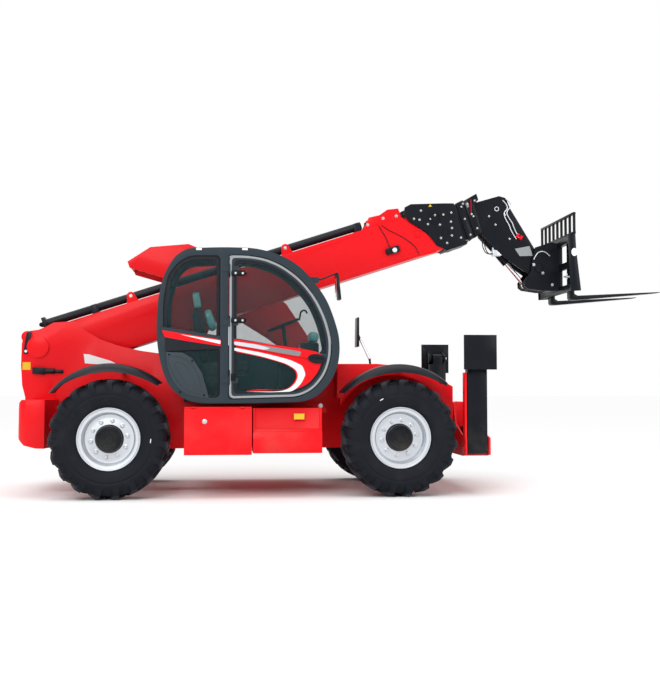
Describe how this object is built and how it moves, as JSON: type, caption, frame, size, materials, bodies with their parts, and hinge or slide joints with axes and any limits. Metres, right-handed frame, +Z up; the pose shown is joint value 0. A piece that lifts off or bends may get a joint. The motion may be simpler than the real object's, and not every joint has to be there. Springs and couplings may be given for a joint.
{
  "type": "telehandler",
  "caption": "Red telescopic handler with side cab, nested lifting boom, fork carriage, front stabilizer legs and steered wheels at both axles.",
  "frame": {"origin": "on the ground under the middle of the overall length, on the machine's centre plane", "axes": "+X toward the forks, +Y to the machine's left, +Z up; the cab stands on the -Y side"},
  "size_m": [7.398, 2.4202, 3.4784],
  "materials": {
    "red_paint": "gloss",
    "black_paint": "satin",
    "chrome_rod": "polished",
    "black_plastic": "matte",
    "grey_paint": "satin",
    "grey_plastic": "matte",
    "tinted_glass": "clear",
    "seat_fabric": "woven",
    "engine_iron": "rough",
    "silver_paint": "satin",
    "tyre_rubber": "matte"
  },
  "bodies": {
    "chassis": {"chassis_frame": "red_paint", "rear_counterweight": "red_paint", "tow_hitch": "black_paint", "front_covers": "red_paint", "mudguards": "black_plastic", "front_axle": "black_paint", "rear_axle": "black_paint", "stabilizer_frame": "red_paint", "cab_frame": "grey_paint", "cab_glass": "tinted_glass", "corner_panel": "grey_plastic", "cab_floor": "black_plastic", "seat": "seat_fabric", "console": "black_plastic", "toolbox": "red_paint", "access_step": "red_paint", "engine_bay": "red_paint", "engine_block": "engine_iron", "mirrors": "black_plastic", "lamps": "black_plastic"},
    "cab_door": {"door_frame": "grey_paint", "door_glass": "tinted_glass"},
    "toolbox_lid": {"toolbox_lid": "red_paint"},
    "engine_hood": {"engine_hood": "red_paint"},
    "boom_base": {"boom_base": "red_paint", "boom_hose_tube": "black_paint", "boom_lamp": "black_plastic"},
    "boom_section_1": {"boom_section_1": "black_paint"},
    "boom_section_2": {"boom_section_2": "black_paint"},
    "boom_section_3": {"boom_section_3": "black_paint"},
    "carriage": {"fork_carriage": "black_paint", "load_backrest": "black_paint", "forks": "black_paint"},
    "lift_barrel": {"lift_barrel": "black_paint"},
    "lift_rod": {"lift_rod": "chrome_rod"},
    "tilt_barrel": {"tilt_barrel": "black_paint"},
    "tilt_rod": {"tilt_rod": "chrome_rod"},
    "knuckle_front_right": {"knuckle_front_right": "engine_iron"},
    "wheel_front_right": {"rim_front_right": "silver_paint", "tyre_front_right": "tyre_rubber"},
    "knuckle_front_left": {"knuckle_front_left": "engine_iron"},
    "wheel_front_left": {"rim_front_left": "silver_paint", "tyre_front_left": "tyre_rubber"},
    "knuckle_rear_right": {"knuckle_rear_right": "engine_iron"},
    "wheel_rear_right": {"rim_rear_right": "silver_paint", "tyre_rear_right": "tyre_rubber"},
    "knuckle_rear_left": {"knuckle_rear_left": "engine_iron"},
    "wheel_rear_left": {"rim_rear_left": "silver_paint", "tyre_rear_left": "tyre_rubber"},
    "stabilizer_leg_right": {"stabilizer_leg_right": "black_paint"},
    "stabilizer_foot_right": {"stabilizer_foot_right": "black_paint"},
    "stabilizer_barrel_right": {"stabilizer_right_barrel": "black_paint"},
    "stabilizer_rod_right": {"stabilizer_right_rod": "chrome_rod"},
    "stabilizer_leg_left": {"stabilizer_leg_left": "black_paint"},
    "stabilizer_foot_left": {"stabilizer_foot_left": "black_paint"},
    "stabilizer_barrel_left": {"stabilizer_left_barrel": "black_paint"},
    "stabilizer_rod_left": {"stabilizer_left_rod": "chrome_rod"}
  },
  "joints": [
    {"name": "steer_front_right", "type": "hinge", "parent": "chassis", "child": "knuckle_front_right", "pos_m": [0.435, -0.89, 0.63], "axis": [0, 0, 1], "range_deg": [-35, 35]},
    {"name": "spin_front_right", "type": "hinge", "parent": "knuckle_front_right", "child": "wheel_front_right", "pos_m": [0.435, -1.01, 0.63], "axis": [0, 1, 0], "continuous": true},
    {"name": "steer_front_left", "type": "hinge", "parent": "chassis", "child": "knuckle_front_left", "pos_m": [0.435, 0.89, 0.63], "axis": [0, 0, 1], "range_deg": [-35, 35]},
    {"name": "spin_front_left", "type": "hinge", "parent": "knuckle_front_left", "child": "wheel_front_left", "pos_m": [0.435, 1.01, 0.63], "axis": [0, 1, 0], "continuous": true},
    {"name": "steer_rear_right", "type": "hinge", "parent": "chassis", "child": "knuckle_rear_right", "pos_m": [-2.635, -0.89, 0.63], "axis": [0, 0, 1], "range_deg": [-35, 35]},
    {"name": "spin_rear_right", "type": "hinge", "parent": "knuckle_rear_right", "child": "wheel_rear_right", "pos_m": [-2.635, -1.01, 0.63], "axis": [0, 1, 0], "continuous": true},
    {"name": "steer_rear_left", "type": "hinge", "parent": "chassis", "child": "knuckle_rear_left", "pos_m": [-2.635, 0.89, 0.63], "axis": [0, 0, 1], "range_deg": [-35, 35]},
    {"name": "spin_rear_left", "type": "hinge", "parent": "knuckle_rear_left", "child": "wheel_rear_left", "pos_m": [-2.635, 1.01, 0.63], "axis": [0, 1, 0], "continuous": true},
    {"name": "boom_lift", "type": "hinge", "parent": "chassis", "child": "boom_base", "pos_m": [-3.52, 0, 1.62], "axis": [0, -1, 0], "range_deg": [-20, 52]},
    {"name": "boom_extend_1", "type": "slide", "parent": "boom_base", "child": "boom_section_1", "axis": [0.9505, 0, 0.3107], "range_m": [0, 3.2]},
    {"name": "boom_extend_2", "type": "slide", "parent": "boom_section_1", "child": "boom_section_2", "axis": [0.9505, 0, 0.3107], "range_m": [0, 3.2]},
    {"name": "boom_extend_3", "type": "slide", "parent": "boom_section_2", "child": "boom_section_3", "axis": [0.9505, 0, 0.3107], "range_m": [0, 3.2]},
    {"name": "carriage_tilt", "type": "hinge", "parent": "boom_section_3", "child": "carriage", "pos_m": [2.3, 0, 2.6], "axis": [0, 1, 0], "range_deg": [-40, 70]},
    {"name": "lift_barrel_swing", "type": "hinge", "parent": "chassis", "child": "lift_barrel", "pos_m": [-3.25, 0, 0.8], "axis": [0, -1, 0], "range_deg": [-16.6, 43]},
    {"name": "lift_rod_slide", "type": "slide", "parent": "lift_barrel", "child": "lift_rod", "axis": [0.8559, 0, 0.5171], "range_m": [-0.28, 0.69]},
    {"name": "tilt_barrel_swing", "type": "hinge", "parent": "boom_section_3", "child": "tilt_barrel", "pos_m": [1.52, 0, 3.15], "axis": [0, -1, 0], "range_deg": [-2, 2]},
    {"name": "tilt_rod_slide", "type": "slide", "parent": "tilt_barrel", "child": "tilt_rod", "axis": [0.6518, 0, -0.7584], "range_m": [-0.26, 0.15]},
    {"name": "cab_door_swing", "type": "hinge", "parent": "chassis", "child": "cab_door", "pos_m": [-1.393, -1.199, 1.8], "axis": [0, 0, -1], "range_deg": [0, 110]},
    {"name": "toolbox_lid_swing", "type": "hinge", "parent": "chassis", "child": "toolbox_lid", "pos_m": [-1.5, -1.199, 0.956], "axis": [-1, 0, 0], "range_deg": [0, 95]},
    {"name": "engine_hood_swing", "type": "hinge", "parent": "chassis", "child": "engine_hood", "pos_m": [-0.3, 0.755, 1.45], "axis": [0, 1, 0], "range_deg": [-27.5, 12]},
    {"name": "stabilizer_leg_right_swing", "type": "hinge", "parent": "chassis", "child": "stabilizer_leg_right", "pos_m": [1.3, -1.03, 0.5], "axis": [1, 0, 0], "range_deg": [0, 110]},
    {"name": "stabilizer_foot_right_swing", "type": "hinge", "parent": "stabilizer_leg_right", "child": "stabilizer_foot_right", "pos_m": [1.3, -1.03, 1.545], "axis": [1, 0, 0], "range_deg": [-20, 0]},
    {"name": "stabilizer_barrel_right_swing", "type": "hinge", "parent": "chassis", "child": "stabilizer_barrel_right", "pos_m": [1.3, -0.34, 0.68], "axis": [1, 0, 0], "range_deg": [0, 18]},
    {"name": "stabilizer_rod_right_slide", "type": "slide", "parent": "stabilizer_barrel_right", "child": "stabilizer_rod_right", "axis": [0, -0.9859, 0.1671], "range_m": [0, 0.46]},
    {"name": "stabilizer_leg_left_swing", "type": "hinge", "parent": "chassis", "child": "stabilizer_leg_left", "pos_m": [1.3, 1.03, 0.5], "axis": [-1, 0, 0], "range_deg": [0, 110]},
    {"name": "stabilizer_foot_left_swing", "type": "hinge", "parent": "stabilizer_leg_left", "child": "stabilizer_foot_left", "pos_m": [1.3, 1.03, 1.545], "axis": [-1, 0, 0], "range_deg": [-20, 0]},
    {"name": "stabilizer_barrel_left_swing", "type": "hinge", "parent": "chassis", "child": "stabilizer_barrel_left", "pos_m": [1.3, 0.34, 0.68], "axis": [-1, 0, 0], "range_deg": [0, 18]},
    {"name": "stabilizer_rod_left_slide", "type": "slide", "parent": "stabilizer_barrel_left", "child": "stabilizer_rod_left", "axis": [0, 0.9859, 0.1671], "range_m": [0, 0.46]}
  ],
  "couplings": [
    {"joint": "steer_front_left", "follows": "steer_front_right", "ratio": 1},
    {"joint": "steer_rear_left", "follows": "steer_rear_right", "ratio": 1},
    {"joint": "boom_extend_2", "follows": "boom_extend_1", "ratio": 1},
    {"joint": "boom_extend_3", "follows": "boom_extend_1", "ratio": 1},
    {"joint": "lift_barrel_swing", "follows": "boom_lift", "ratio": 0.82},
    {"joint": "lift_rod_slide", "follows": "boom_lift", "m_per_rad": 0.73},
    {"joint": "tilt_barrel_swing", "follows": "carriage_tilt", "ratio": 0.02},
    {"joint": "tilt_rod_slide", "follows": "carriage_tilt", "m_per_rad": -0.2},
    {"joint": "stabilizer_foot_right_swing", "follows": "stabilizer_leg_right_swing", "ratio": -0.18},
    {"joint": "stabilizer_barrel_right_swing", "follows": "stabilizer_leg_right_swing", "ratio": 0.16},
    {"joint": "stabilizer_rod_right_slide", "follows": "stabilizer_leg_right_swing", "m_per_rad": 0.235},
    {"joint": "stabilizer_foot_left_swing", "follows": "stabilizer_leg_left_swing", "ratio": -0.18},
    {"joint": "stabilizer_barrel_left_swing", "follows": "stabilizer_leg_left_swing", "ratio": 0.16},
    {"joint": "stabilizer_rod_left_slide", "follows": "stabilizer_leg_left_swing", "m_per_rad": 0.235}
  ]
}
